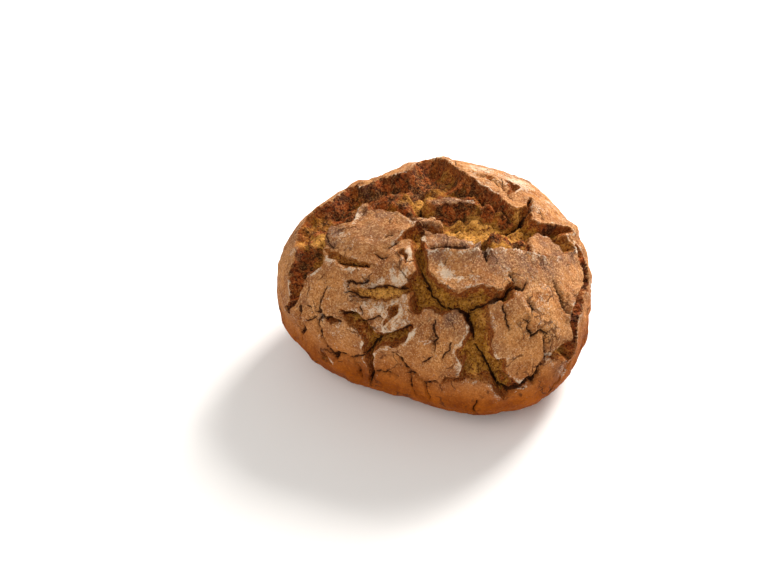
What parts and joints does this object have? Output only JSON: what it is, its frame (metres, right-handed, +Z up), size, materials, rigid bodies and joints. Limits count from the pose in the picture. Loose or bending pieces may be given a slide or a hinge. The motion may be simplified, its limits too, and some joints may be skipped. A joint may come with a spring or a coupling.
{
  "type": "cornbread loaf",
  "caption": "Round rustic cornbread loaf with a domed crust torn open across the top and a flat underside to rest on.",
  "frame": {"origin": "middle of the loaf's outline, on the surface it rests on", "axes": "+Z up through the crown, +X to the right along the loaf's longer way, -Y towards the side where the crust is split down to the foot"},
  "size_m": [0.1422, 0.1374, 0.0766],
  "materials": {
    "baked_crust": "matt, floury baked crust with open golden crumb in the tears"
  },
  "bodies": {
    "root": {"loaf": "baked_crust"}
  },
  "joints": []
}
